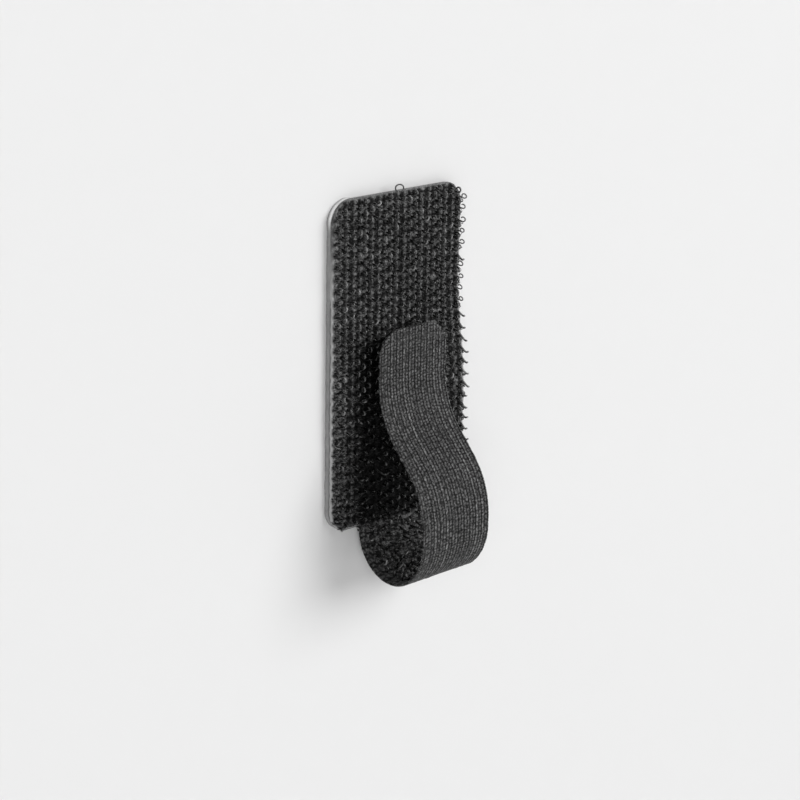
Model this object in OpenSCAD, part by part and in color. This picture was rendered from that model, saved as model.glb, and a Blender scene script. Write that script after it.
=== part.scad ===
// Adhesive cable holder: a rectangular pad of self-gripping tape that sticks to a wall, with a narrower
// strap die-cut from the same tape. The strap leaves the lower edge of the pad, turns up in front of the
// cables and presses its tip onto the hooks of the pad.
// Millimetres. The wall is the plane y = 0, the holder stands off it towards -Y, and +Z is up.
// The origin is the centre of the adhesive face.

/* [Pad] */
// Width of the pad across the tape
pad_w = 25; // [20:1:32]
// Height of the pad, from its top edge to its bottom edge
pad_l = 50; // [46:1:70]
// Radius of the die-cut corners of the pad
pad_corner_r = 3.5; // [1:0.5:5]

/* [Layers] */
// Thickness of the adhesive layer behind the pad
adhesive_t = 0.8; // [0.4:0.1:1.2]
// Thickness of the woven ground of the tape
ground_t = 0.6; // [0.4:0.1:0.9]
// Height of the hooks and loops above the ground
pile_h = 1.6; // [1:0.1:1.8]
// Width of the bare selvedge along each edge, where the pile has been cut back
selvedge_w = 0.4; // [0.2:0.1:0.8]
// How far the hooks of the tip sink into the hooks of the pad
pile_mesh = 0.1; // [0.05:0.05:0.4]

/* [Strap] */
// Width of the strap
strap_w = 13; // [8:0.5:16]
// Radius of the two corners of the strap's tip
tip_corner_r = 3.8; // [1:0.2:3.9]
// Length of the strap that lies flat on the pad, up to its tip
tip_l = 7.2; // [4:0.2:12]

/* [Loop] */
// Distance from the wall to the strap's back at the front of the loop
loop_depth = 15.2; // [14:0.2:18]
// Straight length between the pad's bottom edge and the first bend
neck_l = 0.5; // [0.2:0.1:2]
// Bend radius of the strap's back at the lower front of the loop
front_r = 9; // [8.4:0.1:9.6]
// Height of the lower end of the loop's upright front above the pad's bottom edge
front_rise = 1; // [0:0.5:2]
// Length of the loop's upright front
front_l = 1.5; // [0.5:0.5:6]
// Bend radius of the strap's back over the upper cable
shoulder_r = 13; // [9:1:13]
// Bend radius where the strap lifts off the pad
lift_r = 13; // [8:1:13]
// Angle from upright of the strap between the pad and the upper cable
slope = 44; // [36:1:48]

/* [Hidden] */
$fn = 96;
arc_step = 4;

// Distances from the wall
ground_back = adhesive_t;
ground_front = adhesive_t + ground_t;
pile_front = ground_front + pile_h;
tip_back = pile_front - pile_mesh + pile_h + ground_t;

// The loop's back is one smooth line of arcs and straights, each tangent to the next. Points are
// [distance from the wall, height].
pad_bottom = -pad_l / 2;
front_c = [loop_depth - front_r, pad_bottom + front_rise];
bottom_z = pad_bottom - neck_l;
bottom_drop = front_c[1] - bottom_z;
bottom_reach = front_c[0] - ground_back;
bottom_r = (pow(front_r, 2) - pow(bottom_reach, 2) - pow(bottom_drop, 2)) / (2 * (front_r - bottom_reach));
bottom_c = [ground_back + bottom_r, bottom_z];
bottom_end = atan2(bottom_c[1] - front_c[1], bottom_c[0] - front_c[0]);
shoulder_c = [loop_depth - shoulder_r, front_c[1] + front_l];
slope_l = (loop_depth - tip_back - (shoulder_r + lift_r) * (1 - cos(slope))) / sin(slope);
lift_z = shoulder_c[1] + (shoulder_r + lift_r) * sin(slope) + slope_l * cos(slope);
lift_c = [tip_back + lift_r, lift_z];
// To a hundredth of a millimetre, so that the tip's corners start at a height written in full
tip_top = round(100 * (lift_z + tip_l)) / 100;
tip_corner_z = tip_top - tip_corner_r;

// Points on an arc, about one every arc_step degrees
function arc(centre, r, from, to) =
    let (steps = ceil(abs(to - from) / arc_step))
    [for (i = [0 : steps]) centre + r * [cos(from + (to - from) * i / steps), sin(from + (to - from) * i / steps)]];

// The same, without its last point, for an arc that runs on into another
function arc_into_next(centre, r, from, to) =
    let (points = arc(centre, r, from, to))
    [for (i = [0 : len(points) - 2]) points[i]];

// The line that lies at one depth below the strap's back, all the way from the pad to the tip's corners
function strap_line(depth) = concat(
    [[ground_back + depth, pad_bottom + selvedge_w]],
    arc_into_next(bottom_c, bottom_r - depth, 180, 360 + bottom_end),
    arc(front_c, front_r - depth, bottom_end, 0),
    arc(shoulder_c, shoulder_r - depth, 0, slope),
    arc(lift_c, lift_r + depth, 180 + slope, 180),
    [[tip_back - depth, tip_corner_z]]
);

// Rectangle centred on the origin with four round corners
module round_corner_rectangle(w, h, r) {
    square([w, h - 2 * r], center = true);
    square([w - 2 * r, h], center = true);
    for (x = [-1, 1], z = [-1, 1])
        translate([x * (w / 2 - r), z * (h / 2 - r)])
            circle(r);
}

// Stands an outline drawn as [across, up] on the wall plane and gives it depth, from one distance off
// the wall to another
module on_wall(from, to) {
    rotate([90, 0, 0])
        translate([0, 0, from])
            linear_extrude(to - from)
                children();
}

// Gives a side profile drawn as [distance from the wall, height] its width
module across(width) {
    rotate([90, 0, -90])
        linear_extrude(width, center = true)
            children();
}

// Side profile of the strap, from just above the pad's bottom edge to where the corners of its tip start,
// for the layer of the tape that lies between two depths below the strap's back
module strap_profile(near, far) {
    back = strap_line(near);
    face = strap_line(far);
    polygon(concat(back, [for (i = [len(face) - 1 : -1 : 0]) face[i]]));
}

// Outline of the rounded end of the tip, [across, up], above where its corners start
module tip_outline(inset) {
    r = tip_corner_r - inset;
    straight = strap_w - 2 * tip_corner_r;
    translate([-straight / 2, tip_corner_z])
        square([straight, r]);
    for (x = [-1, 1])
        translate([x * straight / 2, tip_corner_z])
            circle(r);
}

// The small round fillets between the pad's bottom edge and the strap's two sides
module neck_fillets() {
    for (x = [-1, 1])
        translate([x * (strap_w / 2 + neck_l / 2), bottom_z + neck_l / 2])
            difference() {
                square(neck_l, center = true);
                translate([x * neck_l / 2, -neck_l / 2])
                    circle(neck_l);
            }
}

// Clear acrylic adhesive, cut to the same outline as the pad
module adhesive_pad() {
    color("lightgray")
        on_wall(0, adhesive_t)
            round_corner_rectangle(pad_w, pad_l, pad_corner_r);
}

// The tape in one piece: woven ground with its pile of hooks and loops on one face
module grip_strap() {
    color([0.13, 0.13, 0.14]) {
        on_wall(ground_back, ground_front) {
            round_corner_rectangle(pad_w, pad_l, pad_corner_r);
            neck_fillets();
        }
        on_wall(ground_front, pile_front)
            round_corner_rectangle(pad_w - 2 * selvedge_w, pad_l - 2 * selvedge_w, pad_corner_r - selvedge_w);
        across(strap_w)
            strap_profile(0, ground_t);
        across(strap_w - 2 * selvedge_w)
            strap_profile(ground_t, ground_t + pile_h);
        on_wall(tip_back - ground_t, tip_back)
            tip_outline(0);
        on_wall(tip_back - ground_t - pile_h, tip_back - ground_t)
            tip_outline(selvedge_w);
    }
}

adhesive_pad();
grip_strap();
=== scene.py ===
"""Looks of the adhesive cable holder: a pad of self-gripping tape on its adhesive, and the strap cut from the
same tape, which loops round under the cables and presses onto the pad. Everything is placed by flat tape
coordinates in millimetres: x across the tape, s along it (0 at the pad's lower edge, growing towards the
strap's tip) and depth through it (0 at the woven back, growing towards the hooks)."""

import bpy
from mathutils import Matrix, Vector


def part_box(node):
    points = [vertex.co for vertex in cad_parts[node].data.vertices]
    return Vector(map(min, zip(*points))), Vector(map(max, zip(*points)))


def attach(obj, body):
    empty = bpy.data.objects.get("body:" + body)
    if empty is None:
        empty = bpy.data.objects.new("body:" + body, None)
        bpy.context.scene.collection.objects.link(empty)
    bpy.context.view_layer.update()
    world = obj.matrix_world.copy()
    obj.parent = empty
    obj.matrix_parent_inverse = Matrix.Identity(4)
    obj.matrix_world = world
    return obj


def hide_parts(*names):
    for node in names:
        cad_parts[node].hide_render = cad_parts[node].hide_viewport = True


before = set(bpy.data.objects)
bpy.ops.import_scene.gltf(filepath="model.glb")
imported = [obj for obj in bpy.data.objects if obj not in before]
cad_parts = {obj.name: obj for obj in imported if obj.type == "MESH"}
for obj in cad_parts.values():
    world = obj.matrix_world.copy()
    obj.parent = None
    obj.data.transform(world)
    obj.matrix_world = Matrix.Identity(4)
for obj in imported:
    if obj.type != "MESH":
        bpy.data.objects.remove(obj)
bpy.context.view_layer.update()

import math

import bmesh
import bpy
import numpy as np
from mathutils import Matrix, Vector

MM = 0.001
rng = np.random.default_rng(41)

# ---------------------------------------------------------------- driving dimensions, in millimetres
adhesive_low, adhesive_high = (np.array(corner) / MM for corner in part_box("adhesive_pad"))
PAD_W = adhesive_high[0] - adhesive_low[0]
PAD_L = adhesive_high[2] - adhesive_low[2]
PAD_BOTTOM = adhesive_low[2]
ADHESIVE_T = adhesive_high[1] - adhesive_low[1]
LOOP_DEPTH = -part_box("grip_strap")[0][1] / MM  # from the wall to the front of the loop

PAD_CORNER_R = 3.5
GROUND_T = 0.6
PILE_H = 1.6
PILE_MESH = 0.1  # how far the two piles reach into each other under the strap's tip
STRAP_W = 13.0
TIP_CORNER_R = 3.8

# The strap's line, from the pad's lower edge: neck, bottom, front, shoulder, slope, and down onto the pad
NECK_L = 0.5
FRONT_R = 9.0
FRONT_RISE = 1.0  # height of the front arc's centre above the pad's lower edge
FRONT_L = 1.5
SHOULDER_R = 13.0
SLOPE = math.radians(44)
LIFT_R = 13.0
TIP_L = 7.2
PAD_LIFT = 1.9  # how far the pad's right side has let go of the wall

# The weave: warp columns along the tape, a repeat of eight of them, and weft picks across it
REPEAT = 4.77
WARPS_IN_REPEAT = 8
WARP_PITCH = REPEAT / WARPS_IN_REPEAT
WARP_START = 0.6
PICK = 0.47
BACK_RELIEF = 0.15
FACE_RELIEF = 0.3
STRAP_TUCK = 1.2  # the strap's mesh starts this far inside the pad's
CUT_ROUNDING = 0.08
RIM_W = 0.4  # width of the pale cut edge
COARSE = 3  # the unseen side of the cloth has every third point

# The hooks: four columns in a repeat, each with its place across it and its own start along the tape
HOOK_COLUMNS = ((-0.06, 0.16), (1.37, 0.24), (2.48, 0.76), (3.54, 0.42))
HOOK_PITCH = 1.75
HOOK_ROOT = 0.25  # length of a hook's stem down in the ground
HOOK_TOP, LOOP_TOP = 1.1, 0.6  # heights above the ground that are out of the pile's shade
HOOK_POINTS, HOOK_SIDES, HOOK_TAPER = 14, 6, 0.85
HOOK_R, OPEN_HOOK_R = 0.13, 0.16
EDGE_RING_R, EDGE_HOOK_R = 0.1, 0.155
EDGE_BAND = 1.2  # the hooks this near the pad's right edge stand out against the wall
LOOP_POINTS, LOOP_SIDES = 8, 4
STRANDS, EDGE_STRANDS = 3, 6
YARN_R = 0.055
FILAMENT_POINTS = 26
FILAMENT_R = 0.11


# ---------------------------------------------------------------- where the tape runs
def loop_stretches():
    """The strap's back as (length, turn to the left in radians) from the pad's lower edge to the tip."""
    reach = LOOP_DEPTH - FRONT_R - ADHESIVE_T
    drop = FRONT_RISE + NECK_L
    bottom_r = (FRONT_R**2 - reach**2 - drop**2) / (2 * (FRONT_R - reach))
    joint = math.atan2(drop, ADHESIVE_T + bottom_r - (LOOP_DEPTH - FRONT_R))
    tip_back = ADHESIVE_T + 2 * GROUND_T + 2 * PILE_H - PILE_MESH
    across = LOOP_DEPTH - tip_back - (SHOULDER_R + LIFT_R) * (1 - math.cos(SLOPE))
    return [
        (NECK_L, 0.0),
        (bottom_r * (math.pi - joint), math.pi - joint),
        (FRONT_R * joint, joint),
        (FRONT_L, 0.0),
        (SHOULDER_R * SLOPE, SLOPE),
        (across / math.sin(SLOPE), 0.0),
        (LIFT_R * SLOPE, -SLOPE),
        (TIP_L, 0.0),
    ]


STRETCHES = loop_stretches()
STRAP_L = sum(length for length, _ in STRETCHES)


def smooth_step(value, low, high):
    t = np.clip((value - low) / (high - low), 0, 1)
    return t * t * (3 - 2 * t)


def pad_lift(x, z):
    """How far the pad stands off the wall: on its right, from above the middle almost to the lower edge."""
    return PAD_LIFT * smooth_step(x, 3, 13) * smooth_step(-z, -11, 7) * (1 - smooth_step(-z, 17, 24.6))


def back_line(s):
    """(distance from the wall, height, heading) of the tape's back at s. The pad lies at s below 0."""
    s = np.asarray(s, float)
    u = np.full(s.shape, ADHESIVE_T)
    z = PAD_BOTTOM - np.minimum(s, 0)
    heading = np.full(s.shape, -math.pi / 2)
    at = [ADHESIVE_T, PAD_BOTTOM, -math.pi / 2]
    start = 0.0
    for k, (length, turn) in enumerate(STRETCHES):
        last = k == len(STRETCHES) - 1
        here = (s > start) & ((s <= start + length) | last)
        along = s[here] - start
        bend = turn / length
        angle = at[2] + bend * along
        end = at[2] + turn
        if turn:
            u[here] = at[0] + (np.sin(angle) - math.sin(at[2])) / bend
            z[here] = at[1] - (np.cos(angle) - math.cos(at[2])) / bend
            at = [
                at[0] + (math.sin(end) - math.sin(at[2])) / bend,
                at[1] - (math.cos(end) - math.cos(at[2])) / bend,
                end,
            ]
        else:
            u[here] = at[0] + math.cos(end) * along
            z[here] = at[1] + math.sin(end) * along
            at = [at[0] + math.cos(end) * length, at[1] + math.sin(end) * length, end]
        heading[here] = angle
        start += length
    return u, z, heading


def place(x, s, depth):
    """Tape coordinates to the row frame, in metres, as an array of points."""
    x, s, depth = np.broadcast_arrays(np.asarray(x, float), s, depth)
    u, z, heading = back_line(s)
    u = u - np.sin(heading) * depth + np.where(s < 0, pad_lift(x, z), 0)
    z = z + np.cos(heading) * depth
    return np.stack([x, -u, z], axis=-1) * MM


# ---------------------------------------------------------------- mesh helpers
def make_object(name, points, faces, material, attributes):
    """A closed, smooth mesh object from arrays, its normals pointing out. attributes are values per point."""
    mesh = bpy.data.meshes.new(name)
    mesh.from_pydata(points.reshape(-1, 3).tolist(), [], faces)
    for key, values in attributes.items():
        layer = mesh.attributes.new(key, "FLOAT", "POINT")
        layer.data.foreach_set("value", np.ascontiguousarray(values, np.float32).ravel())
    work = bmesh.new()
    work.from_mesh(mesh)
    bmesh.ops.recalc_face_normals(work, faces=work.faces)
    work.to_mesh(mesh)
    work.free()
    mesh.polygons.foreach_set("use_smooth", np.ones(len(mesh.polygons), bool))
    mesh.materials.append(material)
    mesh.update()
    made = bpy.data.objects.new(name, mesh)
    bpy.context.scene.collection.objects.link(made)
    return made


def grid_faces(index):
    """Quads of a grid of point numbers."""
    corners = [index[:-1, :-1], index[:-1, 1:], index[1:, 1:], index[1:, :-1]]
    return np.stack(corners, axis=-1).reshape(-1, 4).tolist()


def edge_faces(fine, coarse):
    """Polygons between a row of point numbers and one with only every COARSE-th of its points."""
    return [
        [coarse[i], coarse[i + 1]] + fine[COARSE * i : COARSE * (i + 1) + 1][::-1]
        for i in range(len(coarse) - 1)
    ]


def noise(x, s, size, seed):
    """Smooth random values from about -1 to 1, one swell every size millimetres."""
    total = 0
    for turn, stretch, start in np.random.default_rng(seed).uniform(0, 2 * math.pi, (6, 3)):
        across = math.cos(turn) * x + math.sin(turn) * s
        total = total + np.sin(across * 2 * math.pi / size * (0.7 + stretch / 10) + start)
    return total / 3


# ---------------------------------------------------------------- the weave
def warp_at(x):
    """(column number, place in it from -0.5 to 0.5)"""
    column = np.floor((x - WARP_START) / WARP_PITCH + 0.5)
    return column, (x - WARP_START) / WARP_PITCH - column


def yarn_top(off, half_width):
    """Round cross-section of a yarn."""
    return np.sqrt(np.clip(1 - (off / half_width) ** 2, 0, 1))


def beads(s, length, share):
    """Floats of a yarn along s, one every length, each rounded off at its ends."""
    t = np.mod(s / length, 1) - 0.5
    return np.clip(1 - np.abs(t / (share / 2)) ** 4, 0, 1) ** 0.5


def scatter(*whole):
    """A random value from 0 to 1 for each set of whole numbers, always the same."""
    factors = (12.9898, 78.233, 37.719)
    mixed = sum(np.asarray(value, float) * factor for value, factor in zip(whole, factors))
    return np.modf(np.abs(np.sin(mixed)) * 43758.5453)[0]


def weave_back(x, s):
    """(height, tint) of the ribbed back, from 0 to 1: soft ribs in pairs, broken up by the picks, and on the
    left of each pair, next to the deeper groove between the pairs, a fine shiny yarn."""
    column, off = warp_at(x)
    pair = np.floor(column / 2)
    left = np.mod(column, 2) == 0
    random = scatter(column)
    reach = np.where(left == (off < 0), 0.43, 0.54)
    rib = np.clip(1 - np.abs(off / reach) ** 4, 0, 1)
    along = s + random * 2 * PICK
    soft = 0.6 * rib * (0.4 + 0.3 * beads(along, 2 * PICK, 0.88) + 0.3 * beads(along, PICK, 0.85))
    run = s + random * 2.3
    floats = 0.45 + 0.3 * beads(run, 4 * PICK, 0.88) + 0.3 * beads(run, PICK, 0.8)
    sheen = (0.6 + 0.4 * scatter(pair, 5)) * floats
    fine = np.where(left, yarn_top(off + 0.18, 0.25) * sheen, 0)
    height = np.maximum(soft, fine)
    fine_tint, soft_tint = scatter(column, np.floor(run / PICK), 3), scatter(column, np.floor(along / PICK))
    return height, np.where(fine > soft, fine_tint, soft_tint)


def weave_face(x, s):
    """(height, tint) of the hooked face: soft knots in the hooks' columns, two to each hook, and low picks
    between them."""
    best = np.zeros(np.broadcast(x, s).shape)
    tint = best + 0.5
    for start, phase in HOOK_COLUMNS:
        column = np.floor((x - start) / REPEAT + 0.5)
        off = x - start - column * REPEAT
        number = np.floor(2 * (s / HOOK_PITCH - phase) + 0.5)
        run = (s / HOOK_PITCH - phase - number / 2) * HOOK_PITCH
        random = scatter(column + start, number)
        knot = np.sqrt(np.clip(1 - (off / (0.42 + 0.1 * random)) ** 2 - (run / 0.4) ** 2, 0, 1))
        tint = np.where(knot > best, random, tint)
        best = np.maximum(best, knot)
    column, off = warp_at(x)
    picks = 0.35 * yarn_top(off, 0.42) * (0.3 + 0.7 * beads(s + PICK * np.mod(column, 2), 2 * PICK, 0.85))
    bar = s / HOOK_PITCH - 0.43 + 0.5
    wefts = 0.8 * yarn_top((bar - np.floor(bar) - 0.5) * HOOK_PITCH, 0.3)
    return 0.85 * np.maximum(best, np.maximum(picks, wefts)), tint


def cloth_shell(s, half, across, back_height, face_height, fine_back):
    """A closed strip of the woven ground. s and half give each row's place and half width, across the columns'
    places from -1 to 1, and back_height and face_height the (height, tint, relief) of its two sides. One side
    has every point, the other every COARSE-th one each way. Returns points, faces and the points' values: rise,
    the height in the weave, rim, 1 at the cut edge, and tint."""
    points, borders, faces = [], [], []
    values = {"rise": [], "rim": [], "tint": []}
    start = 0
    for is_back, height in ((True, back_height), (False, face_height)):
        step = 1 if is_back == fine_back else COARSE
        x = half[::step, None] * across[None, ::step]
        along = np.broadcast_to(s[::step, None], x.shape)
        to_edge = np.minimum(half[::step, None] - np.abs(x), np.minimum(along - s[0], s[-1] - along))
        inside = CUT_ROUNDING - np.clip(to_edge, 0, CUT_ROUNDING)
        rounding = CUT_ROUNDING - np.sqrt(np.clip(CUT_ROUNDING**2 - inside**2, 0, None))
        up, tint, relief = height(x, along)
        sunk = relief * (1 - up) + rounding
        points.append(place(x, along, sunk if is_back else GROUND_T - sunk).reshape(-1, 3))
        rim = np.clip(2 * (1 - to_edge / RIM_W), 0, 1)
        for key, value in (("rise", up), ("rim", rim), ("tint", tint)):
            values[key].append(np.broadcast_to(value, x.shape).ravel())
        index = start + np.arange(x.size).reshape(x.shape)
        faces += grid_faces(index)
        borders.append([row.tolist() for row in (index[:, 0], index[:, -1], index[0], index[-1])])
        start += x.size
    fine, coarse = borders if fine_back else borders[::-1]
    for one, other in zip(fine, coarse):
        faces += edge_faces(one, other)
    return np.concatenate(points), faces, {key: np.concatenate(parts) for key, parts in values.items()}


def rounded_end(to_end, half, r):
    """Half width of a strip at a distance from an end whose two corners have radius r."""
    inside = np.clip(r - to_end, 0, r)
    return half - r + np.sqrt(np.clip(r * r - inside * inside, 0, None))


def rows_between(low, high, step, near_low, near_high):
    """Row places from low to high: the given ones near each end, which are distances from it, and even steps
    between. The count suits the coarser side of the cloth."""
    reach_low = low + (near_low[-1] if len(near_low) else 0)
    reach_high = high - (near_high[-1] if len(near_high) else 0)
    steps = round((reach_high - reach_low) / step)
    steps += -(steps + max(len(near_low) - 1, 0) + max(len(near_high) - 1, 0)) % COARSE
    middle = np.linspace(reach_low, reach_high, steps + 1)
    return np.concatenate([low + near_low[:-1], middle, (high - near_high[:-1])[::-1]])


def quarter(r, count):
    """Distances from an end over a corner of radius r, closer together towards the end."""
    return r * (1 - np.cos(np.linspace(0, math.pi / 2, count)))


def across_ribs():
    """Column places across the strap, from -1 to 1: five to a rib, with one in each groove."""
    half = STRAP_W / 2
    ribs = np.arange(-12, 13)[:, None]
    places = (WARP_START + WARP_PITCH * (ribs + np.array([-0.5, -0.32, -0.1, 0.14, 0.34]))).ravel()
    places = places[np.abs(places) < half - 0.2]
    rim = np.array([0, 0.03, 0.08, 0.15])
    places = np.concatenate([-half + rim, places, (half - rim)[::-1]])
    spare = (len(places) - 1) % COARSE
    if spare:
        places = np.delete(places, [5, 9][:spare])
    return places / half


def tape_ground(material):
    """The woven ground of the pad and the strap, one piece as it was cut."""
    def wave(s):
        return 0.05 * noise(0, s, 3.0, 7) + 0.03 * noise(0, s, 0.9, 8)

    def flat_back(x, s):
        return 0.5, 0.5, 0

    def knotted(x, s):
        return *weave_face(x, s), FACE_RELIEF

    def tucked(s):
        """The strap's start is a little thinner than the pad, so it lies inside."""
        return np.where(s < 0, 0.06, 0)

    def ribbed_strap(x, s):
        return *weave_back(x, s), BACK_RELIEF + tucked(s)

    def knotted_strap(x, s):
        return *weave_face(x, s), FACE_RELIEF + tucked(s)

    # The pad: rows and columns about every 0.25 mm, and closer together round the corners
    corner = quarter(PAD_CORNER_R, 21)
    pad_s = rows_between(-PAD_L, 0, 0.25, corner, corner)
    pad_half = rounded_end(np.minimum(pad_s + PAD_L, -pad_s), PAD_W / 2, PAD_CORNER_R) + wave(pad_s)
    pad_across = np.linspace(-1, 1, 100)
    points, faces, pad_values = cloth_shell(pad_s, pad_half, pad_across, flat_back, knotted, fine_back=False)

    # The strap: four rows to a pick, widened at its start by the fillets into the pad
    tip = quarter(TIP_CORNER_R, 27)
    strap_s = rows_between(-STRAP_TUCK, STRAP_L, PICK / 4, np.array([]), tip)
    fillet = NECK_L - np.sqrt(np.clip(NECK_L**2 - np.clip(NECK_L - strap_s, 0, NECK_L) ** 2, 0, None))
    strap_half = rounded_end(STRAP_L - strap_s, STRAP_W / 2, TIP_CORNER_R) + 0.5 * wave(strap_s + 90) + fillet
    strap_points, strap_faces, strap_values = cloth_shell(
        strap_s, strap_half, across_ribs(), ribbed_strap, knotted_strap, fine_back=True
    )

    # The pale rim fades towards the pad's top, and there is none where pad and strap are one, nor on the strap.
    # The knots behind the strap are darkened: painted shadow of the strap.
    x, z = points[:, 0] / MM, points[:, 2] / MM
    uncut = smooth_step(-z, 22, 24) * (1 - smooth_step(np.abs(x), STRAP_W / 2, STRAP_W / 2 + 0.4))
    behind = smooth_step(x, -9.5, -5.5) * (1 - smooth_step(x, 5, 7)) * smooth_step(-z, -6, 0)
    pad_values["rim"] *= (1 - 0.8 * smooth_step(z, 10, 20)) * (1 - uncut)
    pad_values["rise"] *= 1 - 0.8 * behind
    strap_values["rim"] *= 0

    faces += [[k + len(points) for k in face] for face in strap_faces]
    values = {key: np.concatenate([pad_values[key], strap_values[key]]) for key in pad_values}
    return make_object("tape_ground", np.concatenate([points, strap_points]), faces, material, values)


# ---------------------------------------------------------------- the hooks and loops
def crook(tilt, stem, radius, sweep):
    """A hook in its own plane as (up, out): a stem that leans down by tilt, then a bend upwards and back."""
    length = HOOK_ROOT + stem + radius * sweep
    at = np.linspace(0, 1, HOOK_POINTS) * length
    turned = np.clip((at - HOOK_ROOT - stem) / radius, 0, None)
    heading = tilt - turned
    step = length / (HOOK_POINTS - 1)
    up = np.concatenate([[0], np.cumsum(-np.sin((heading[1:] + heading[:-1]) / 2) * step)])
    out = np.concatenate([[0], np.cumsum(np.cos((heading[1:] + heading[:-1]) / 2) * step)])
    return np.stack([up, out - HOOK_ROOT], axis=-1)


def arch(width, height):
    """A small loop in its own plane, both feet in the ground."""
    angle = np.linspace(math.pi, 0, LOOP_POINTS)
    return np.stack([width / 2 * np.cos(angle), height * np.sin(angle) ** 0.8 - 0.1], axis=-1)


def tubes(curves, radii, sides, taper):
    """Tubes of the given radii along curves, an array of [hook, point, xyz] in metres, the last ring of each
    scaled by taper. Returns points and faces."""
    hooks, count, _ = curves.shape
    tangent = np.gradient(curves, axis=1)
    tangent /= np.linalg.norm(tangent, axis=2, keepdims=True)
    guide = np.array([1.0, 0.05, 0.0])
    one = guide - (guide * tangent).sum(axis=2, keepdims=True) * tangent
    one /= np.linalg.norm(one, axis=2, keepdims=True)
    two = np.cross(tangent, one)
    angle = np.linspace(0, 2 * math.pi, sides, endpoint=False)
    width = np.outer(np.broadcast_to(radii, hooks), np.where(np.arange(count) == count - 1, taper, 1)) * MM
    ring = (
        one[:, :, None] * np.cos(angle)[None, None, :, None]
        + two[:, :, None] * np.sin(angle)[None, None, :, None]
    )
    points = curves[:, :, None] + ring * width[:, :, None, None]
    index = np.arange(hooks * count * sides).reshape(hooks, count, sides)
    wrapped = np.roll(index, -1, axis=2)
    sleeve = np.stack([index[:, :-1], wrapped[:, :-1], wrapped[:, 1:], index[:, 1:]], axis=-1)
    faces = sleeve.reshape(-1, 4).tolist() + index[:, 0].tolist() + index[:, -1].tolist()
    return points.reshape(-1, 3), faces


def tube_object(name, curves, tints, rises, material, radii, sides, taper):
    """Tubes along curves of equally many points as one object, each with its own tint, and with how far each
    of its points stands out of the pile, from 0 to 1."""
    points, faces = tubes(np.array(curves), radii, sides, taper)
    tint = np.repeat(tints, len(points) // len(curves))
    rise = np.repeat(np.clip(rises, 0, 1).ravel(), sides)
    return make_object(name, points, faces, material, {"tint": tint, "rise": rise})


def hook_places(s_from, s_to, half, inset):
    """(x, s, column) of every hook between two places along the tape."""
    found = []
    for repeat in range(-4, 5):
        for column, (start, phase) in enumerate(HOOK_COLUMNS):
            x = start + repeat * REPEAT
            for step in range(math.ceil(s_from / HOOK_PITCH - phase), int(s_to / HOOK_PITCH - phase) + 1):
                s = (step + phase) * HOOK_PITCH
                if abs(x) < half(s) - inset:
                    found.append((x, s, column))
    return found


def strap_shade_and_press(x, s):
    """How far the pile on the pad behind the strap is darkened as painted shadow of the strap, from 0 to 1; the
    yarn tufts there are also pressed a little lower.
    """
    behind = smooth_step(x, -9, -4.5) * (1 - smooth_step(x, 5, 7))
    return float(behind * smooth_step(s, -31, -25) * (s < 0))


def hook_field(name, places, material, worn, disorder):
    """A hook at each place: a closed ring, or one that is pulled open. worn gives the share of hooks at a
    place that are open, and disorder how far the hooks there are turned and bent at random."""
    curves, tints, rises, radii = [], [], [], []
    for x, s, column in places:
        astray = disorder(x, s)
        shade_and_press = strap_shade_and_press(x, s)
        opened = rng.random() < worn(x, s)
        at_edge = x > PAD_W / 2 - EDGE_BAND
        if opened:
            shape = crook(
                rng.normal(0.6, 0.07), rng.normal(0.95, 0.07), rng.uniform(0.5, 0.65), rng.normal(1.35, 0.2)
            )
            if at_edge:
                shape *= 0.9
        elif at_edge:
            shape = crook(
                rng.normal(0.2, 0.1), rng.normal(0.5, 0.05), rng.uniform(0.27, 0.36), rng.normal(4.7, 0.4)
            )
            shape[:, 1] *= 1.4
        else:
            shape = crook(
                rng.normal(0.2, 0.06 + 0.3 * astray), rng.normal(0.7, 0.04) * (1 - 0.2 * astray),
                rng.uniform(0.33, 0.38) * (1 - 0.4 * astray), rng.normal(5.0, 0.25 + 0.8 * astray),
            )
        # Towards the tip the strap's hooks are drawn out, down to the pad's
        shape[:, 1] *= 1 + 0.6 * float(smooth_step(s, STRAP_L - 16, STRAP_L - 8))
        lean_across = rng.normal(0, 0.05 + 0.2 * astray)
        twist = rng.normal(0.5 if column == 0 else 0, 0.1 + astray)
        jitter = rng.normal(0, 0.04 + 0.15 * astray, 2)
        out = np.clip(shape[:, 1], 0, None)
        across = shape[:, 0] * math.sin(twist) + lean_across * out
        along = -shape[:, 0] * math.cos(twist)
        curves.append(place(x + jitter[0] + across, s + jitter[1] + along, GROUND_T + shape[:, 1]))
        # A few hooks are much brighter than the rest, as painted glints, and those at the edge are painted
        # lighter where they catch the light
        tints.append(3.2 * rng.random() ** 4 + (3.8 if opened else 1.9) * at_edge)
        # Behind the strap the rise is lowered, as painted shadow of the strap; at the edge it is raised, out of
        # the pile's painted shade
        rises.append((shape[:, 1] / HOOK_TOP + 0.5 * at_edge) * (1 - 0.5 * shade_and_press))
        if at_edge:
            radii.append(EDGE_HOOK_R if opened else EDGE_RING_R)
        else:
            radii.append(OPEN_HOOK_R if opened else HOOK_R)
    return tube_object(name, curves, tints, rises, material, radii, HOOK_SIDES, HOOK_TAPER)


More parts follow.
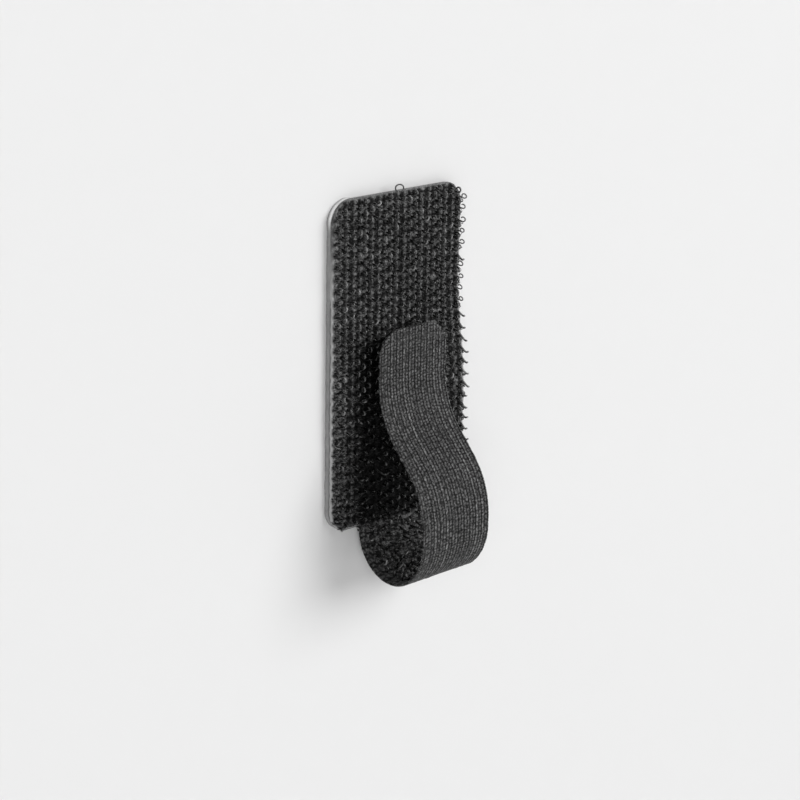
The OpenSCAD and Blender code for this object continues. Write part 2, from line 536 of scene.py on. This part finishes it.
def tuft_field(name, places, material):
    """Tufts of fine yarn loops between the hooks, one beside each hook."""
    curves, tints, rises = [], [], []
    for x, s, _ in places:
        tint = rng.random()
        shade_and_press = strap_shade_and_press(x, s)
        at_edge = x > PAD_W / 2 - EDGE_BAND
        for _ in range(EDGE_STRANDS if at_edge else STRANDS):
            high = rng.uniform(0.55, 0.85) if at_edge else rng.uniform(0.4, 0.85) * (1 - 0.3 * shade_and_press)
            shape = arch(rng.uniform(0.5, 0.8) if at_edge else rng.uniform(0.6, 1.2), high)
            twist = rng.normal(0.3 if at_edge else 1.2, 0.5)
            lean = rng.normal(0, 0.25, 2) * (1 - 0.7 * at_edge)
            middle = rng.normal(0, 0.13, 2) + np.array([-0.4, 0.3]) * at_edge
            out = np.clip(shape[:, 1], 0, None)
            across = shape[:, 0] * math.sin(twist) + lean[0] * out
            along = shape[:, 0] * math.cos(twist) + lean[1] * out
            curves.append(place(
                x + 0.35 + middle[0] + across, s + 0.4 + middle[1] + along, GROUND_T - 0.15 + shape[:, 1]
            ))
            tints.append(0.7 * tint + 0.3 * rng.random() + 0.5 * at_edge)
            # Behind the strap the tufts' rise is lowered, as painted shadow of the strap
            rises.append(shape[:, 1] / LOOP_TOP * (1 - 0.9 * shade_and_press))
    return tube_object(name, curves, tints, rises, material, YARN_R, LOOP_SIDES, 1.0)


def filament(x, s, depth, wide, tall, sweep, start, facing):
    """Part of an ellipse round a place in the pile, turned out of the tape's plane by facing."""
    angle = start + np.linspace(0, sweep, FILAMENT_POINTS)
    return place(
        x + wide * np.cos(angle) * math.cos(facing),
        s + tall * np.sin(angle),
        depth + wide * np.cos(angle) * math.sin(facing),
    )


def loose_filaments(material):
    """The few filaments that stand out of the pile: a loop at the top edge, some along the left edge and two
    farther in."""
    curves = [filament(-0.5, -PAD_L - 0.5, 1.1, 0.6, 0.52, 5.9, 2.0, 0.5)]
    for _ in range(5):
        curves.append(filament(
            rng.uniform(-11.6, -10.6), rng.uniform(-47, -12), rng.uniform(0.7, 1.1), rng.uniform(0.8, 1.3),
            rng.uniform(0.8, 1.6), rng.uniform(1.6, 2.6), rng.uniform(0, 6), rng.uniform(0, 0.6),
        ))
    for _ in range(2):
        curves.append(filament(
            rng.uniform(-9, 11), rng.uniform(-47, -14), rng.uniform(1.5, 1.9), rng.uniform(0.5, 0.8),
            rng.uniform(0.5, 0.9), rng.uniform(2.4, 4.2), rng.uniform(0, 6), rng.uniform(0, 1.4),
        ))
    tints = np.full(len(curves), 0.3)
    rises = np.ones((len(curves), FILAMENT_POINTS))
    return tube_object("loose_filaments", curves, tints, rises, material, FILAMENT_R, HOOK_SIDES, 1.0)


# ---------------------------------------------------------------- materials
def new_material(name):
    """A material, its node tree and its shader."""
    made = bpy.data.materials.new(name)
    made.use_nodes = True
    return made, made.node_tree, made.node_tree.nodes["Principled BSDF"]


def add(tree, kind, **values):
    """A node with its named inputs or properties set."""
    node = tree.nodes.new(kind)
    for key, value in values.items():
        if key in node.inputs:
            node.inputs[key].default_value = value
        else:
            setattr(node, key, value)
    return node


def set_inputs(node, values):
    """Sets the node's named inputs to constants."""
    for key, value in values.items():
        node.inputs[key].default_value = value


def connect(tree, node, sources):
    """Links an output to each of the node's inputs that are named."""
    for key, output in sources.items():
        tree.links.new(output, node.inputs[key])


def carried(tree, name):
    """A value that the mesh carries at its points."""
    return add(tree, "ShaderNodeAttribute", attribute_name=name).outputs["Fac"]


def object_noise(tree, scale, detail):
    """Noise fixed to the object, as a value from 0 to 1."""
    node = add(tree, "ShaderNodeTexNoise", Scale=scale, Detail=detail)
    connect(tree, node, {"Vector": add(tree, "ShaderNodeTexCoord").outputs["Object"]})
    return node.outputs["Fac"]


def greys(tree, value, *stops):
    """The grey that a colour ramp of (position, grey) pairs gives to a value."""
    node = add(tree, "ShaderNodeValToRGB")
    elements = node.color_ramp.elements
    while len(elements) < len(stops):
        elements.new(0.5)
    for element, (position, grey) in zip(elements, stops):
        element.position = position
        element.color = (grey, grey, grey, 1)
    connect(tree, node, {"Fac": value})
    return node.outputs["Color"]


def ranged(tree, value, low, high, low_in=0.0, high_in=1.0, clamp=True):
    """A value moved from the range low_in to high_in into the range low to high."""
    node = add(tree, "ShaderNodeMapRange", clamp=clamp)
    set_inputs(node, {"From Min": low_in, "From Max": high_in, "To Min": low, "To Max": high})
    connect(tree, node, {"Value": value})
    return node.outputs["Result"]


def tinted(tree, colour, low, high):
    """A colour made darker or lighter by the tint that each yarn carries."""
    node = add(tree, "ShaderNodeVectorMath", operation="SCALE")
    connect(tree, node, {0: colour, "Scale": ranged(tree, carried(tree, "tint"), low, high, clamp=False)})
    return node.outputs["Vector"]


def multiplied(tree, one, other):
    """The product of two colours."""
    node = add(tree, "ShaderNodeVectorMath", operation="MULTIPLY")
    connect(tree, node, {0: one, 1: other})
    return node.outputs["Vector"]


def blended(tree, share, one, other):
    """One colour where share is 0, the other where it is 1."""
    node = add(tree, "ShaderNodeMix", data_type="RGBA")
    connect(tree, node, {"Factor": share, "A": one, "B": other})
    return node.outputs["Result"]


def bumped(tree, height, strength, distance):
    """The surface's direction over small bumps."""
    node = add(tree, "ShaderNodeBump", Strength=strength, Distance=distance)
    connect(tree, node, {"Height": height})
    return node.outputs["Normal"]


def black_weave():
    """Black nylon yarn: painted shade down between the yarns and a painted highlight on their tops, flecked by
    its filaments and paler at the cut edge.
    """
    made, tree, shader = new_material("black_weave")
    # Painted shade and highlight: the lower a point lies in the weave the darker it is, and the yarn tops are
    # painted brighter
    depth = greys(tree, carried(tree, "rise"), (0.05, 0.003), (0.3, 0.019), (0.55, 0.072), (1.0, 0.155))
    flecks = greys(tree, object_noise(tree, 3600.0, 1.0), (0.4, 0.35), (0.6, 1.6))
    yarns = multiplied(tree, tinted(tree, depth, 0.75, 1.4), flecks)
    rim = carried(tree, "rim")
    cut = greys(tree, rim, (0.6, 0.5), (0.98, 0.42), (1.0, 0.2))
    connect(tree, shader, {
        "Base Color": blended(tree, rim, yarns, cut),
        "Normal": bumped(tree, object_noise(tree, 9000.0, 2.0), 0.5, 0.00003),
    })
    set_inputs(shader, {
        "Roughness": 0.55,
        "Specular IOR Level": 0.08,
        "Sheen Weight": 0.03,
        "Sheen Roughness": 0.4,
    })
    return made


def black_fibre(name, low, high, rough_low, rough_high):
    """Black nylon fibre, darker and duller down in the pile as painted shade, its grey from low to high from
    place to place.
    """
    made, tree, shader = new_material(name)
    spots = object_noise(tree, 1500.0, 2.0)
    colour = tinted(tree, greys(tree, spots, (0.35, low), (0.7, high)), 0.55, 1.65)
    # Painted shade: darker and with less coat down in the pile, where the rise is low
    sunk = greys(tree, carried(tree, "rise"), (0.2, 0.08), (0.85, 1.0))
    connect(tree, shader, {
        "Base Color": multiplied(tree, colour, sunk),
        "Roughness": ranged(tree, spots, rough_low, rough_high),
        "Coat Weight": sunk,
    })
    set_inputs(shader, {"Coat Roughness": rough_low, "Specular IOR Level": 0.35, "IOR": 1.55})
    return made


def clear_adhesive():
    """Grey acrylic adhesive with a glossy cut edge, and a painted highlight, the paler band between it and the
    tape at the upper left corner.
    """
    made, tree, shader = new_material("clear_adhesive")
    milk = object_noise(tree, 500.0, 3.0)
    patches = object_noise(tree, 260.0, 2.0)
    acrylic = greys(tree, milk, (0.3, 0.25), (0.7, 0.34))
    # Painted highlight: near white on the front half of the edge round the upper left corner
    painted_corner_highlight = greys(tree, patches, (0.4, 0.85), (0.6, 1.0))
    connect(tree, shader, {
        "Base Color": blended(tree, carried(tree, "painted_corner_highlight"), acrylic, painted_corner_highlight),
        "Roughness": ranged(tree, patches, 0.16, 0.32, 0.3, 0.7),
        "Normal": bumped(tree, milk, 0.3, 0.00005),
    })
    set_inputs(shader, {"IOR": 1.47})
    return made


def plain(name, grey):
    """A dull, even paint for the surroundings."""
    made, _, shader = new_material(name)
    set_inputs(shader, {"Base Color": (grey, grey, grey, 1), "Roughness": 0.9, "Specular IOR Level": 0.1})
    return made


# ---------------------------------------------------------------- the adhesive
def rounded_outline(inset, spacing=0.5, corner_steps=20):
    """Points (x, z) round the pad's outline, moved in by inset."""
    r = PAD_CORNER_R - inset
    outline = []
    for k, (cx, cz) in enumerate(((1, 1), (-1, 1), (-1, -1), (1, -1))):
        for i in range(corner_steps + 1):
            angle = math.pi / 2 * (k + i / corner_steps)
            x = cx * (PAD_W / 2 - PAD_CORNER_R) + r * math.cos(angle)
            z = cz * (PAD_L / 2 - PAD_CORNER_R) + r * math.sin(angle)
            outline.append((x, z))
    dense = []
    for (x0, z0), (x1, z1) in zip(outline, outline[1:] + outline[:1]):
        steps = max(1, round(math.hypot(x1 - x0, z1 - z0) / spacing))
        dense += [(x0 + (x1 - x0) * i / steps, z0 + (z1 - z0) * i / steps) for i in range(steps)]
    return np.array(dense)


def adhesive_slab(material):
    """The adhesive layer, with its edge drawn slightly in and out and rounded off. It stops a little short of
    the pad's top edge, and has a painted highlight, a pale streak in its front half round the upper left
    corner."""
    # (height as a share of the thickness, distance in from the outline) from the middle of the back round the
    # edge to the middle of the front
    layers = [(0, 6.0), (0, 0.6), (0, 0.04), (0.15, 0.02), (0.625, 0.06), (0.9, 0.08), (1, 0.2), (1, 6.0)]
    outline = rounded_outline(0)
    ahead, behind = np.roll(outline, -1, axis=0), np.roll(outline, 1, axis=0)
    side = ahead - behind
    normal = np.stack([side[:, 1], -side[:, 0]], axis=-1)
    normal /= np.linalg.norm(normal, axis=1, keepdims=True)
    wave = 0.04 * noise(outline[:, 0], outline[:, 1], 2.6, 5)
    rings = []
    for up, inset in layers:
        if inset > 1:
            ring = outline * np.array([(PAD_W / 2 - inset) / (PAD_W / 2), (PAD_L / 2 - inset) / (PAD_L / 2)])
        else:
            ring = outline - normal * (inset - wave)[:, None]
        short = 0.4 * smooth_step(ring[:, 1], 21, 24.8) * smooth_step(ring[:, 0], -10, -6)
        ring = ring - np.array([0, 1]) * short[:, None]
        y = -up * ADHESIVE_T - pad_lift(ring[:, 0], ring[:, 1])
        rings.append(np.stack([ring[:, 0], y, ring[:, 1]], axis=-1) * MM)
    index = np.arange(len(layers) * len(outline)).reshape(len(layers), -1)
    closed = np.concatenate([index, index[:, :1]], axis=1)
    faces = grid_faces(closed) + [index[0].tolist(), index[-1].tolist()]
    # Where the painted highlight goes: the front half of the edge round the upper left corner
    near_corner = smooth_step(outline[:, 1], 20, 23) * smooth_step(-outline[:, 0], 8, 10)
    painted_corner_highlight = np.repeat([up > 0.5 for up, _ in layers], len(outline)) * np.tile(near_corner, len(layers))
    return make_object("adhesive_layer", np.concatenate(rings), faces, material, {"painted_corner_highlight": painted_corner_highlight})


# ---------------------------------------------------------------- camera, light and surroundings
def aim_camera():
    """The view from the left and a little above, at the wall, with a long lens."""
    azimuth, elevation, roll = math.radians(-42.8), math.radians(18.3), math.radians(1.17)
    level = math.cos(elevation)
    back = Vector((math.sin(azimuth) * level, -math.cos(azimuth) * level, math.sin(elevation)))
    right = Vector((math.cos(azimuth), math.sin(azimuth), 0))
    turned = Matrix((right, back.cross(right), back)).transposed() @ Matrix.Rotation(roll, 3, "Z")
    data = bpy.data.cameras.new("camera")
    data.lens = 90
    data.sensor_width = 36
    data.clip_start = 0.01
    data.clip_end = 20
    camera = bpy.data.objects.new("camera", data)
    camera.matrix_world = Matrix.Translation((-0.19037, -0.20795, 0.08634)) @ turned.to_4x4()
    bpy.context.scene.collection.objects.link(camera)
    bpy.context.scene.camera = camera


def area_light(name, place_at, size, power):
    """A soft round lamp aimed at the holder."""
    data = bpy.data.lights.new(name, "AREA")
    data.shape = "DISK"
    data.size = size
    data.energy = power
    lamp = bpy.data.objects.new(name, data)
    lamp.location = place_at
    lamp.rotation_euler = (-Vector(place_at)).to_track_quat("-Z", "Y").to_euler()
    bpy.context.scene.collection.objects.link(lamp)


def one_sided(material):
    """Lets a stage surface be seen only from its front, so that the views from behind are open."""
    tree = material.node_tree
    side = add(tree, "ShaderNodeNewGeometry")
    clear = add(tree, "ShaderNodeBsdfTransparent")
    mix = add(tree, "ShaderNodeMixShader")
    connect(tree, mix, {
        0: side.outputs["Backfacing"],
        1: tree.nodes["Principled BSDF"].outputs["BSDF"],
        2: clear.outputs["BSDF"],
    })
    connect(tree, tree.nodes["Material Output"], {"Surface": mix.outputs["Shader"]})


def stage_mesh(name, points, faces, material):
    """A surface of the surroundings, which isn't part of the object."""
    mesh = bpy.data.meshes.new(name)
    mesh.from_pydata(points, [], faces)
    mesh.materials.append(material)
    made = bpy.data.objects.new(name, mesh)
    bpy.context.scene.collection.objects.link(made)
    return made


def surroundings():
    """A pale wall behind the holder, open behind the pad so that its back can be seen, and a pale floor."""
    paint = plain("pale_wall", 0.786)
    one_sided(paint)
    half, floor_z, wall_y = 1.5, -0.3, 0.00002
    hole = rounded_outline(0.5, spacing=50, corner_steps=6) * MM
    middle_z = (half + floor_z) / 2
    tall = (half - floor_z) / 2
    border = []
    for x, z in hole:
        grow = min(half / max(abs(x), 1e-9), tall / max(abs(z), 1e-9))
        border.append((x * grow, wall_y, z * grow + middle_z))
    points = [(x, wall_y, z) for x, z in hole] + border
    count = len(hole)
    faces = [[i, count + i, count + (i + 1) % count, (i + 1) % count] for i in range(count)]
    wall = stage_mesh("wall", points, faces, paint)
    sides = ((-half, -half), (half, -half), (half, wall_y), (-half, wall_y))
    corners = [(x, y, floor_z) for x, y in sides]
    floor = stage_mesh("floor", corners, [[0, 1, 2, 3]], plain("pale_floor", 0.84))


def lighting():
    """Soft light from all round, paler to the camera alone, a large key lamp on the right and a fill lamp."""
    world = bpy.data.worlds.new("world")
    world.use_nodes = True
    tree = world.node_tree
    ambient = tree.nodes["Background"]
    set_inputs(ambient, {"Color": (1, 1, 1, 1), "Strength": 0.2})
    backdrop = add(tree, "ShaderNodeBackground", Strength=0.87)
    rays = add(tree, "ShaderNodeLightPath")
    mix = add(tree, "ShaderNodeMixShader")
    connect(tree, mix, {0: rays.outputs["Is Camera Ray"], 1: ambient.outputs[0], 2: backdrop.outputs[0]})
    connect(tree, tree.nodes["World Output"], {"Surface": mix.outputs[0]})
    bpy.context.scene.world = world
    area_light("key", (0.88, -1.43, 0.8), size=1.3, power=24.9)
    area_light("fill", (-0.7, -0.9, 0.3), size=0.8, power=3.6)


# ---------------------------------------------------------------- where the hooks stand, and their wear
def pad_half_at(s):
    """Half width of the pad at s, less at its rounded corners and 0 past its ends."""
    return rounded_end(min(s + PAD_L, -s), PAD_W / 2, PAD_CORNER_R) if -PAD_L < s < 0 else 0


def strap_half_at(s):
    """Half width of the strap at s, less at its rounded corners and 0 past its tip."""
    return rounded_end(STRAP_L - s, STRAP_W / 2, TIP_CORNER_R) if s < STRAP_L else 0


def worn_pad(x, s):
    """A few of the pad's hooks are pulled open, and all along the lower 30 mm of its right edge."""
    return 0.03 + float(smooth_step(s, -32, -30) * smooth_step(x, 11, 11.6))


def worn_strap(x, s):
    """About a third of the strap's hooks are pulled open."""
    return 0.35


def messy_pad(x, s):
    """The pad's hooks are in order, except at its lower left."""
    return float(smooth_step(s, -24, -12) * (1 - smooth_step(x, -6, 0)))


def messy_strap(x, s):
    """The strap's hooks are a little out of order everywhere."""
    return 0.4


# ---------------------------------------------------------------- the scene
aim_camera()
surroundings()
lighting()

ground = tape_ground(black_weave())
hook_nylon = black_fibre("black_monofilament", 0.02, 0.085, 0.13, 0.22)
yarn = black_fibre("black_yarn", 0.022, 0.08, 0.3, 0.42)

# Near the tip the strap's hooks are longer, so they stand farther in from its edges
near_tip = 32
pad_places = hook_places(-PAD_L + 0.5, -1.2, pad_half_at, 0.25)
strap_places = hook_places(0.2, near_tip, strap_half_at, 0.6)
strap_places += hook_places(near_tip, STRAP_L - 0.8, strap_half_at, 1.6)
pad_hooks = hook_field("pad_hooks", pad_places, hook_nylon, worn_pad, messy_pad)
strap_hooks = hook_field("strap_hooks", strap_places, hook_nylon, worn_strap, messy_strap)
pad_loops = tuft_field("pad_loops", pad_places, yarn)
strap_loops = tuft_field("strap_loops", strap_places, yarn)
loose = loose_filaments(hook_nylon)
adhesive = adhesive_slab(clear_adhesive())

pile = [pad_hooks, strap_hooks, pad_loops, strap_loops, loose]
for piece in [ground] + pile:
    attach(piece, "root")
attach(adhesive, "root")
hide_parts("grip_strap")
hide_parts("adhesive_pad")

bpy.context.scene.view_settings.view_transform = "Standard"
